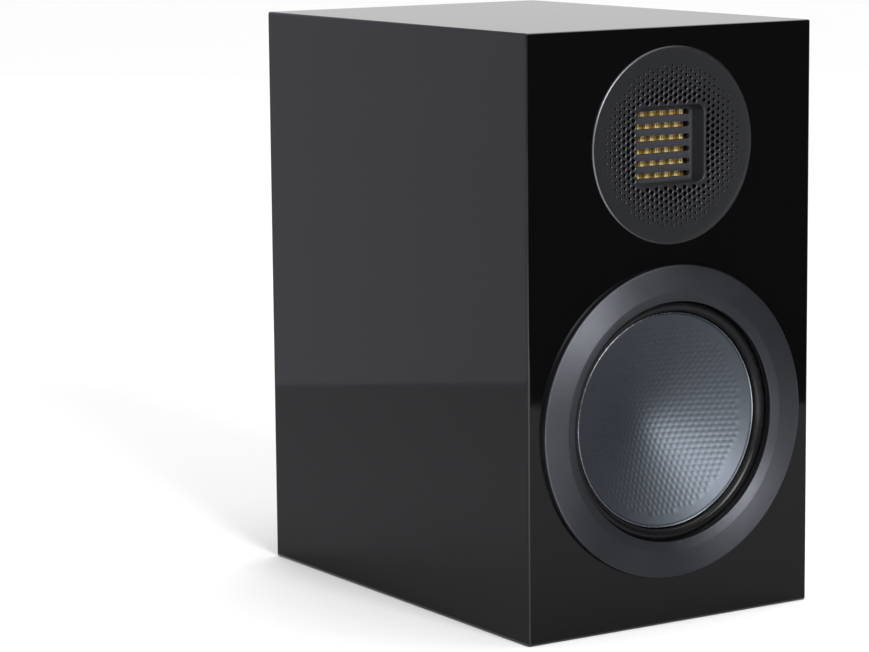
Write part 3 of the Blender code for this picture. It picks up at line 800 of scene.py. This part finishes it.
cloth = Finish("resin_treated_cloth", (0.42, 0.29, 0.10), 0.75)
threads = crossed(cloth, (0, 2), 6000) * 0.5 + 0.5
cloth.tinted(threads, (0.33, 0.21, 0.06), (0.50, 0.36, 0.15))
cloth.relief(threads, 0.0001, 0.8)

SPIDER_INNER = 0.0174
SPIDER_OUTER = 0.0455
SPIDER_DEPTH = 0.0304
SPIDER_SWING = 0.0011
HALF_CLOTH = 0.00025
waves = []
for step in range(61):
    radius = SPIDER_INNER + (SPIDER_OUTER - SPIDER_INNER) * step / 60
    waves.append((radius, SPIDER_DEPTH + SPIDER_SWING * math.sin(2 * math.pi * 3 * step / 60)))
spider_profile = [(radius, depth - HALF_CLOTH) for radius, depth in waves]
spider_profile += [(radius, depth + HALF_CLOTH) for radius, depth in reversed(waves)]
spider = turned("corrugated_spider", at_front(spider_profile), WOOFER_Z, segments=96)
sharpened(spider, 60)
flexing(
    "corrugated_spider", spider, cloth.material, "woofer_spider", 0.0180, 0.0440,
)


# ---- Tweeter faceplate
# A shallow dished metal plate, punched with staggered columns of six-sided holes that grow smaller
# towards the rim, then painted satin dark grey. A drawn throat leads in to the diaphragm's window.
PIERCED_R = 0.0446
WINDOW_W = 0.0220
WINDOW_H = 0.0203
WINDOW_CORNER = 0.0055
THROAT_HALF = 0.0215
THROAT_BACK = 0.0032
DISH_FROM = 0.021
DISH_TO = 0.043
DISH_MIDDLE = 0.0014
DISH_RIM = -0.0003


def plate_depth(radius):
    share = min(max((radius - DISH_FROM) / (DISH_TO - DISH_FROM), 0), 1)
    return DISH_MIDDLE + (DISH_RIM - DISH_MIDDLE) * share


def rounded_window(half_width, half_height, corner, steps=6):
    """(x, z) points anticlockwise round a rectangle with round corners, about the middle."""
    points = []
    for quarter, (side_x, side_z) in enumerate(((1, 1), (-1, 1), (-1, -1), (1, -1))):
        for step in range(steps + 1):
            turn = math.pi / 2 * (quarter + step / steps)
            points.append((
                side_x * (half_width - corner) + corner * math.cos(turn),
                side_z * (half_height - corner) + corner * math.sin(turn),
            ))
    return points


def lofted(name, loops):
    """A skin through closed loops of (x, y, z) points, all of one count."""
    work = bmesh.new()
    rings = [[work.verts.new(point) for point in loop] for loop in loops]
    for first, second in zip(rings, rings[1:]):
        for step in range(len(first)):
            following = (step + 1) % len(first)
            work.faces.new((first[step], first[following], second[following], second[step]))
    return from_bmesh(name, work)


def filled_ring(name, outer, inner):
    """The flat face between two closed loops of (x, y, z) points."""
    work = bmesh.new()
    edges = []
    for loop in (outer, inner):
        verts = [work.verts.new(point) for point in loop]
        edges += [work.edges.new((verts[step - 1], verts[step])) for step in range(len(verts))]
    bmesh.ops.triangle_fill(work, edges=edges, use_beauty=True)
    return from_bmesh(name, work)


satin = Finish("satin_grey_paint", (0.03, 0.031, 0.034), 0.42)
speck = satin.noise(1800, 3)
cast = satin.noise(35, 3)
satin.tinted(cast, (0.0085, 0.009, 0.0105), (0.012, 0.0125, 0.0145))
satin.roughened(speck, 0.30, 0.40)
satin.relief(speck, 0.00002, 0.4)
# The near-black finish without gloss is painted shade: it goes on the deep walls and floors of the blind
# pits that stand for the holes, as the dark seen through a hole.
shade = Finish("black_cloth_backing", (0.001, 0.001, 0.001), 0.95, Specular_IOR_Level=0.0)
shade_speckle = shade.noise(3000, 2)
shade.tinted(shade_speckle, (0.0006, 0.0006, 0.0006), (0.002, 0.002, 0.002))

hole_sizes = dict(
    Across=27, Rows=31, Pitch=0.0034, Row=0.00298, Reach_x=0.0437, Reach_z=0.0418,
    Clear_x=WINDOW_W, Clear_z=WINDOW_H, Corner=0.0060, Large=0.00172, Small=0.00062, Depth=0.7,
    Middle=TWEETER_Z,
)
net, given = new_tree("pierced faceplate", **hole_sizes)
points = hex_points(net, given)
place = net.node("GeometryNodeInputPosition")
up, side = net.split(place, 0), net.split(place, 1)
inside = (side / given["Reach_x"]) ** 2 + (up / given["Reach_z"]) ** 2 < 1
corner = given["Corner"]
beside = net.maths("MAXIMUM", net.maths("ABSOLUTE", side) - given["Clear_x"] + corner, 0)
beyond = net.maths("MAXIMUM", net.maths("ABSOLUTE", up) - given["Clear_z"] + corner, 0)
clear = net.distance(beside, beyond) > corner + given["Large"]
points = kept_points(net, points, inside * clear)
reach = net.vector("LENGTH", place, output=1)
opening = net.between(reach, 0.0270, 0.0435, given["Large"], given["Small"])
pit = sunk(net, 6, [(0.14, 0.80), (0.30, 1.0), (0.56, 1.0)])
sheet = pierced(net, points, given, 6, opening, opening * given["Depth"], pit, math.pi / 6)
x, y, z = (net.split(place, axis) for axis in range(3))
dish = net.between(net.distance(x, y), DISH_FROM, DISH_TO, DISH_MIDDLE, DISH_RIM)
bent = net.join(0 - y, FRONT + dish - z, x + given["Middle"])
sheet = solid(net, moved_to(net, sheet, bent), satin.material)
# The deep walls and floor of every pit take the near-black finish, a painted shade in place of the dark seen
# through a hole.
deep = net.node("GeometryNodeInputNamedAttribute", {"data_type": "FLOAT"}, {"Name": "deep"})
sockets = {"Geometry": sheet, "Selection": deep, "Material": shade.material}
sheet = net.node("GeometryNodeSetMaterial", None, sockets)
window = rounded_window(WINDOW_W, WINDOW_H, WINDOW_CORNER)
outline = flat_outline(circle_points(PIERCED_R), [(z, -x) for x, z in window])
pierced_face = grown(net, sheet, outline, (satin.material, shade.material), **hole_sizes)


def window_loop(half_width, half_height, corner, depth, on_surface=False):
    loop = []
    for x, z in rounded_window(half_width, half_height, corner):
        rise = plate_depth(math.hypot(x, z)) if on_surface else 0
        loop.append((x, FRONT + depth + rise, TWEETER_Z + z))
    return loop


bare_rim = Finish("bare_turned_rim", (0.15, 0.155, 0.165), 0.36, 1.0)
bare_rim.roughened(bare_rim.noise(900, 3), 0.32, 0.42)
throat = lofted("throat", [
    window_loop(WINDOW_W, WINDOW_H, WINDOW_CORNER, 0, True),
    window_loop(0.0218, 0.0202, 0.0054, 0.00010, True),
    window_loop(0.0215, 0.0200, 0.0052, 0.00045, True),
    window_loop(0.0212, 0.0199, 0.0050, 0.00110, True),
    window_loop(0.0209, 0.0198, 0.0046, 0.0032),
    window_loop(0.0191, 0.01940, 0.0018, 0.0079),
    window_loop(0.0190, 0.01935, 0.0016, 0.0081),
    window_loop(0.0213, 0.0213, 0.0020, 0.0081),
    window_loop(THROAT_HALF, THROAT_HALF, 0.0020, 0.0079),
    window_loop(THROAT_HALF, THROAT_HALF, 0.0020, THROAT_BACK),
])
rim_profile = [
    (PIERCED_R, DISH_RIM), (0.0488, -0.0008), (0.0500, -0.0011), (0.0507, -0.0006),
    (0.0507, 0.0017), (0.0440, 0.0017), (0.0425, THROAT_BACK),
]
rim = turned("rim", at_front(eased(rim_profile, 0.0002, closed=False)), TWEETER_Z, closed=False)
back_circle = [(x, FRONT + THROAT_BACK, TWEETER_Z + z) for x, z in circle_points(0.0425)]
back_window = window_loop(THROAT_HALF, THROAT_HALF, 0.0020, THROAT_BACK)
back_face = filled_ring("back", back_circle, back_window)
faceplate = welded("faceplate", [pierced_face, rim, throat, back_face], 0.00002)
sharpened(faceplate, 28)
for face in faceplate.polygons:
    out = math.hypot(face.center.x, face.center.z - TWEETER_Z)
    if out > 0.0500 and face.center.y < FRONT - 0.0004:
        face.material_index = 2
placed(
    "pierced_faceplate", faceplate, [satin.material, shade.material, bare_rim.material],
    "cabinet", "faceplate_metal", "tweeter_faceplate",
)


# ---- Tweeter motor and diaphragm
# Slotted steel pole plates stand before and behind a film folded like a concertina, which carries
# a gold-coloured conductor. The rear plate, bar magnets and chassis are out of sight.
def cut_plate(name, outlines, front, back, ease, height):
    """A flat plate facing front and back: its outer outline and then its holes, as (x, z) points."""
    curve = bpy.data.curves.new(name, "CURVE")
    curve.dimensions = "2D"
    curve.fill_mode = "BOTH"
    curve.extrude = (back - front) / 2 - ease
    curve.bevel_depth = ease
    curve.bevel_resolution = 2
    curve.offset = -ease
    for outline in outlines:
        spline = curve.splines.new("POLY")
        spline.points.add(len(outline) - 1)
        spline.use_cyclic_u = True
        for point, (along, up) in zip(spline.points, outline):
            point.co = (along, up, 0, 1)
    mesh = settled(linked(name, curve))
    middle = Matrix.Translation((0, (front + back) / 2, height))
    mesh.transform(middle @ Matrix.Rotation(math.pi / 2, 4, "X"))
    return welded(name, [mesh], WELD / 2)


def moved(outline, x, z):
    return [(x + along, z + up) for along, up in outline]


SLOT_PITCH = 0.00636
slot = rounded_window(0.0173, 0.00138, 0.0012, 4)
slots = [moved(slot, 0, (row - 2.5) * SLOT_PITCH) for row in range(6)]
grid = cut_plate(
    "slotted_pole_plate", [rounded_window(0.0215, 0.0215, 0.001, 3)] + slots,
    FRONT + 0.0084, FRONT + 0.0109, 0.0002, TWEETER_Z,
)
sharpened(grid, 40)
grid_paint = Finish("fine_texture_paint", (0.055, 0.058, 0.066), 0.5)
crumbs = grid_paint.noise(1700, 3)
grid_paint.tinted(crumbs, (0.004, 0.005, 0.008), (0.028, 0.030, 0.037))
grid_paint.relief(crumbs, 0.00006, 0.6)
placed("slotted_pole_plate", grid, [grid_paint.material], "cabinet", "grid_metal", "front_pole_grid")
dressed(grid_paint, "rear_pole_grid")

PLEAT_PITCH = 0.0031
FILM = 0.00008
pleat_sizes = dict(
    Columns=221, Pitch=PLEAT_PITCH, Fold=0.0009, Width=0.0341, Height=0.0388, Depth=0.0137
)
net, given = new_tree("pleated film", **pleat_sizes)
sockets = {
    "Size X": given["Width"], "Size Y": given["Height"], "Vertices X": given["Columns"],
    "Vertices Y": 9,
}
strip = net.node("GeometryNodeMeshGrid", None, sockets)
place = net.node("GeometryNodeInputPosition")
x, up = net.split(place, 0), net.split(place, 1)
swing = net.maths("ARCSINE", net.maths("SINE", x * (2 * math.pi) / given["Pitch"]) * 0.94) / 1.2226
folded = net.join(x, FRONT + given["Depth"] + swing * given["Fold"], TWEETER_Z + up)

gold = Finish("gold_coloured_film", (0.78, 0.50, 0.10), 0.30, 1.0)
along = gold.split(gold.place(), 0)
# Thin dark lines every quarter pleat, on each fold and midway up each flank, where the gold is not metallic:
# partly the conductor's traces and partly painted shade in the creases of the folds.
trace_and_fold_shade = gold.maths("PINGPONG", along / (PLEAT_PITCH / 4), 0.5) * 2
crinkle = gold.noise(500, 3)
# Every other pleat is lighter, and the light pleats move on by one pleat from one slot row to the next: a
# painted highlight, lit and shaded copies of the gold that stand for the lit folds.
row = gold.maths("FLOOR", (gold.split(gold.place(), 2) - TWEETER_Z) / SLOT_PITCH) * 0.5
highlight_pairs = gold.maths("PINGPONG", along / (PLEAT_PITCH * 2) + row, 0.5) * 2
painted_highlight = gold.between(highlight_pairs, 0.35, 0.75, 0, 1)
highlighted_gold = gold.blended(painted_highlight, (0.30, 0.15, 0.015), (1.0, 0.87, 0.42))
gold.tinted(gold.between(trace_and_fold_shade, 0.10, 0.28, 0, 1), (0.06, 0.035, 0.005), highlighted_gold)
gold.wear(Metallic=gold.between(trace_and_fold_shade, 0.10, 0.28, 0.0, 0.08))
gold.relief(crinkle, 0.0002, 0.6)
strip = solid(net, moved_to(net, strip, folded), gold.material)
carrier = linked("carrier", grown(net, strip, flat_outline(), **pleat_sizes))
skin = carrier.modifiers.new("skin", "SOLIDIFY")
skin.thickness = FILM
skin.offset = 0
pleats = settled(carrier)
sharpened(pleats, 60)
placed("pleated_diaphragm", pleats, [gold.material], "cabinet", "gold_film", "tweeter_diaphragm")

moulded = Finish("black_moulding", (0.014, 0.014, 0.015), 0.45)
mould_grain = moulded.noise(1500, 3)
moulded.roughened(moulded.noise(70, 3), 0.38, 0.52)
moulded.relief(mould_grain, 0.00006, 0.5)
dressed(moulded, "tweeter_chassis", "tweeter_rear_chamber", "woofer_terminal_strip")

felt = Finish("grey_felt", (0.28, 0.28, 0.27), 1.0)
wool = felt.noise(1100, 6)
felt.tinted(wool, (0.16, 0.16, 0.155), (0.42, 0.42, 0.40))
felt.relief(wool, 0.0006, 0.9)
dressed(felt, "chamber_felt", "damping_pad_left", "damping_pad_right")

blackened = Finish("blackened_steel", (0.03, 0.03, 0.031), 0.35, 0.9)
blackened.roughened(blackened.noise(800, 3), 0.28, 0.42)
dressed(blackened, *[f"faceplate_screw_{number}" for number in range(1, 5)])


# ---- Reflex port
# A black moulded tube with a flared mouth, pushed into the rear panel from behind until its
# flange sits on the lacquer.
port_profile = [
    (0.0170, 0.028), (0.0195, 0.028), (0.0195, 0.1105), (0.0259, 0.1230), (0.0259, 0.1283),
    (0.0305, 0.1283), (0.0300, 0.1300), (0.0252, 0.1300), (0.0240, 0.1290), (0.0205, 0.1245),
    (0.0180, 0.1175), (0.0170, 0.1080),
]
port = turned("flared_port", eased(port_profile, 0.0012, 4), PORT_Z, segments=96)
sharpened(port, 40)
placed("flared_port", port, [moulded.material], "cabinet", "black_plastic", "port_tube")


# ---- Terminals
# A moulded plate held by four countersunk screws carries two gold-plated posts. Each has a washer
# and a fluted knob, black for negative and red for positive, that screws down on a bare wire.
POSTS = {"negative": -0.019, "positive": 0.019}
SCREWS_ACROSS = 0.066
SCREWS_UP = 0.044
PLATE_BACK = 0.1283
post_holes = [moved(circle_points(0.00305, 32), x, 0) for x in POSTS.values()]
screw_holes = [
    moved(circle_points(0.00165, 20), SCREWS_ACROSS / 2 * side_x, SCREWS_UP / 2 * side_z)
    for side_x in (-1, 1) for side_z in (-1, 1)
]
plate = cut_plate(
    "terminal_plate_moulding", [rounded_window(0.040, 0.029, 0.006, 8)] + post_holes + screw_holes,
    PLATE_BACK, 0.1313, 0.0006, TERMINAL_Z,
)
sharpened(plate, 40)
placed(
    "terminal_plate_moulding", plate, [moulded.material], "cabinet", "black_plastic", "terminal_plate"
)

gilt = Finish("gold_plating", (0.80, 0.53, 0.17), 0.20, 1.0)
gilt.roughened(gilt.noise(400, 3), 0.15, 0.28)
stem_profile = [
    (0, 0.1150), (0.0030, 0.1150), (0.0030, 0.1235), (0.0060, 0.1235), (0.0060, 0.1280),
    (0.0030, 0.1280), (0.0030, 0.1316), (0.0070, 0.1316), (0.0070, 0.1346), (0.0030, 0.1346),
    (0.0030, 0.1520), (0.0020, 0.1520), (0.0020, 0.1380), (0, 0.1380),
]
washer_profile = [(0.0034, 0.1349), (0.0066, 0.1349), (0.0066, 0.1361), (0.0034, 0.1361)]
knob_profile = [
    (0.0034, 0.1364), (0.0066, 0.1364), (0.0075, 0.1372), (0.0075, 0.1380), (0.0075, 0.1450),
    (0.0075, 0.1512), (0.0075, 0.1521), (0.0067, 0.1530), (0.0034, 0.1530),
]
flute_sizes = dict(Flutes=12, Cut=0.0006, Start=0.1376, End=0.1518, Centre=0.0, Middle=TERMINAL_Z)


def fluted(name, profile, centre, material):
    """The turned profile with grooves cut down its side for the fingers."""
    net, given = new_tree(name, **flute_sizes)
    place = net.node("GeometryNodeInputPosition")
    out_x = net.split(place, 0) - given["Centre"]
    along = net.split(place, 1)
    out_z = net.split(place, 2) - given["Middle"]
    radius = net.distance(out_x, out_z)
    turn = net.maths("ARCTAN2", out_z, out_x)
    groove = net.maths("MAXIMUM", net.maths("COSINE", turn * given["Flutes"]), -0.2) + 0.2
    held = (radius > 0.0068) * (along > given["Start"] - 0.0001) * (along < given["End"] + 0.0001)
    kept = 1 - groove / 1.2 * held * given["Cut"] / radius
    cut = net.join(given["Centre"] + out_x * kept, along, given["Middle"] + out_z * kept)
    shape = solid(net, moved_to(net, given["Geometry"], cut), material)
    base = turned(name, profile, TERMINAL_Z, centre)
    return grown(net, shape, base, **{**flute_sizes, "Centre": centre})


knob_colours = {"negative": (0.013, 0.013, 0.014), "positive": (0.36, 0.008, 0.010)}
knob_slots = {"negative": "black_knob", "positive": "red_knob"}
for side, x in POSTS.items():
    stem = turned(side + "_stem", eased(stem_profile, 0.0002, 2), TERMINAL_Z, x, 48)
    sharpened(stem, 40)
    placed(side + "_stem", stem, [gilt.material], "cabinet", "gold_plate", side + "_post_stem")
    ring = turned(side + "_ring", eased(washer_profile, 0.0002, 2), TERMINAL_Z, x, 48)
    sharpened(ring, 40)
    placed(
        side + "_ring", ring, [gilt.material], side + "_washer", "gold_plate",
        side + "_post_washer",
    )
    plastic = Finish(side + "_knob_plastic", knob_colours[side], 0.28)
    plastic.roughened(plastic.noise(600, 3), 0.22, 0.36)
    plastic.relief(plastic.noise(1600, 2), 0.00003, 0.3)
    knob = fluted(side + "_fluted_knob", knob_profile, x, plastic.material)
    sharpened(knob, 40)
    placed(
        side + "_fluted_knob", knob, [plastic.material], side + "_knob", knob_slots[side],
        side + "_post_knob",
    )

CROSS = [
    (0.00038, 0.00038), (0.0003, 0.0016), (-0.0003, 0.0016), (-0.00038, 0.00038), (-0.0016, 0.0003),
    (-0.0016, -0.0003), (-0.00038, -0.00038), (-0.0003, -0.0016), (0.0003, -0.0016),
    (0.00038, -0.00038), (0.0016, -0.0003), (0.0016, 0.0003),
]
screw_profile = [
    (0, 0.1165), (0.0010, 0.1175), (0.0015, 0.1190), (0.0015, 0.1316), (0.0030, 0.1316),
    (0.0030, 0.1321), (0.0024, 0.1328), (0.0012, 0.1330), (0, 0.1330),
]
screw = turned("screw", screw_profile, TERMINAL_Z, segments=32)
recess = cut_plate("recess", [CROSS], 0.1318, 0.1340, 0.00005, TERMINAL_Z)
screw = carved(screw, [recess])
screw_sizes = dict(Across=SCREWS_ACROSS, Up=SCREWS_UP)
net, given = new_tree("four screws", **screw_sizes)
sockets = {"Size X": given["Across"], "Size Y": given["Up"], "Vertices X": 2, "Vertices Y": 2}
corners = net.node("GeometryNodeMeshGrid", None, sockets)
place = net.node("GeometryNodeInputPosition")
corners = moved_to(net, corners, net.join(net.split(place, 0), 0, net.split(place, 1)))
sockets = {"Points": corners, "Instance": given["Geometry"]}
screws = net.node("GeometryNodeInstanceOnPoints", None, sockets)
four_screws = grown(net, solid(net, screws, blackened.material), screw, **screw_sizes)
sharpened(four_screws, 35)
placed(
    "terminal_screws", four_screws, [blackened.material], "cabinet", "black_screw",
    *[f"terminal_plate_screw_{number}" for number in range(1, 5)],
)


# ---- Clamp bolt
# One socket-head bolt passes through the rear panel and a broad washer into the woofer's magnet,
# and pulls the motor back against the brace.
bolt_profile = [
    (0, -0.0717), (0.0034, -0.0717), (0.0040, -0.0709), (0.0040, 0.1301), (0.0065, 0.1301),
    (0.0065, 0.1356), (0.0061, 0.1361), (0, 0.1361),
]
socket = cut_plate("socket", [circle_points(0.0033, 6)], 0.1325, 0.1375, 0.00001, WOOFER_Z)
bolt = carved(turned("socket_bolt", bolt_profile, WOOFER_Z, segments=48), [socket])
sharpened(bolt, 35)
placed("socket_bolt", bolt, [blackened.material], "cabinet", "black_screw", "woofer_clamp_bolt")
broad_profile = [(0.0046, 0.1283), (0.0100, 0.1283), (0.0100, 0.1298), (0.0046, 0.1298)]
broad = turned("broad_washer", eased(broad_profile, 0.0003, 2), WOOFER_Z, segments=64)
sharpened(broad, 40)
placed("broad_washer", broad, [blackened.material], "cabinet", "black_screw", "clamp_bolt_washer")


# ---- Brace
# A fibreboard frame with one large window cut in it, glued across the inside to stiffen the side
# panels. The clamp bolt pulls the woofer's motor back against it.
dressed(board, "window_brace")


# ---- Crossover
# A coated board on the floor of the cabinet, with two air-cored coils of copper wire, two wrapped
# film capacitors and a ceramic resistor.
coated = Finish("coated_circuit_board", (0.02, 0.10, 0.05), 0.4)
glass = crossed(coated, (0, 1), 4000)
coated.tinted(glass * 0.5 + 0.5, (0.014, 0.08, 0.04), (0.03, 0.13, 0.065))
coated.relief(glass, 0.00002, 0.5)
dressed(coated, "crossover_board")

wire = Finish("coil_wire", (0.70, 0.30, 0.13), 0.28, 1.0)
wire.tinted(wire.noise(250, 3), (0.60, 0.23, 0.09), (0.78, 0.38, 0.19))


def wire_coil(name, middle, inner, outer, low, high, gauge):
    """A solid winding with a layer of separate turns round its outside."""
    turns = int((high - low) / gauge)
    sizes = dict(Turns=turns, Gauge=gauge, Radius=outer - gauge / 2, Low=low + gauge / 2)
    net, given = new_tree(name, **sizes)
    path, section = [
        net.node("GeometryNodeCurvePrimitiveCircle", None, {"Resolution": sides, "Radius": radius})
        for sides, radius in ((48, given["Radius"]), (8, given["Gauge"] * 0.5))
    ]
    turn = net.node("GeometryNodeCurveToMesh", None, {"Curve": path, "Profile Curve": section})
    start = net.join(middle[0], middle[1], given["Low"])
    step = net.join(0, 0, given["Gauge"])
    sockets = {"Count": given["Turns"], "Start Location": start, "Offset": step}
    stack = net.node("GeometryNodeMeshLine", None, sockets)
    coil = net.node("GeometryNodeInstanceOnPoints", None, {"Points": stack, "Instance": turn})
    coil = net.node("GeometryNodeJoinGeometry", None, {"Geometry": [coil, given["Geometry"]]})
    edge = outer - gauge * 0.6
    core_profile = [(inner, low), (edge, low), (edge, high), (inner, high)]
    core = turned("core", eased(core_profile, 0.0006, 2), 0, segments=48)
    upright = Matrix.Translation((middle[0], middle[1], 0)) @ Matrix.Rotation(math.pi / 2, 4, "X")
    core.transform(upright)
    mesh = grown(net, solid(net, coil, wire.material), welded("core", [core]), **sizes)
    sharpened(mesh, 50)
    return mesh


for name, gauge, inner in (("woofer_inductor", 0.0012, 0.009), ("tweeter_inductor", 0.0008, 0.006)):
    low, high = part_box(name)
    middle = (low + high) / 2
    coil = wire_coil(name + "_coil", middle, inner, high.x - middle.x, low.z, high.z, gauge)
    placed(name + "_coil", coil, [wire.material], "cabinet", "copper", name)

wrap = Finish("capacitor_wrap", (0.05, 0.07, 0.22), 0.3)
wrap.tinted(wrap.noise(120, 3), (0.035, 0.055, 0.19), (0.06, 0.085, 0.26))
wrap.relief(wrap.maths("SINE", wrap.split(wrap.place(), 1) * 2500), 0.00004, 0.4)
dressed(wrap, "woofer_capacitor", "tweeter_capacitor")

fired = Finish("fired_ceramic", (0.75, 0.73, 0.68), 0.8)
fired.tinted(fired.noise(900, 4), (0.66, 0.64, 0.59), (0.80, 0.78, 0.73))
fired.relief(fired.noise(900, 4), 0.0001, 0.5)
dressed(fired, "tweeter_resistor")


# ---- Internal leads
# Stranded copper in a soft black sheath, from the terminals to the board and on to each driver,
# soldered at both ends.
sheath = Finish("soft_black_sheath", (0.012, 0.012, 0.012), 0.5)
sheath.roughened(sheath.noise(300, 3), 0.42, 0.6)
sheath.relief(sheath.noise(700, 2), 0.00008, 0.4)
dressed(sheath, "input_lead", "woofer_lead", "tweeter_lead")
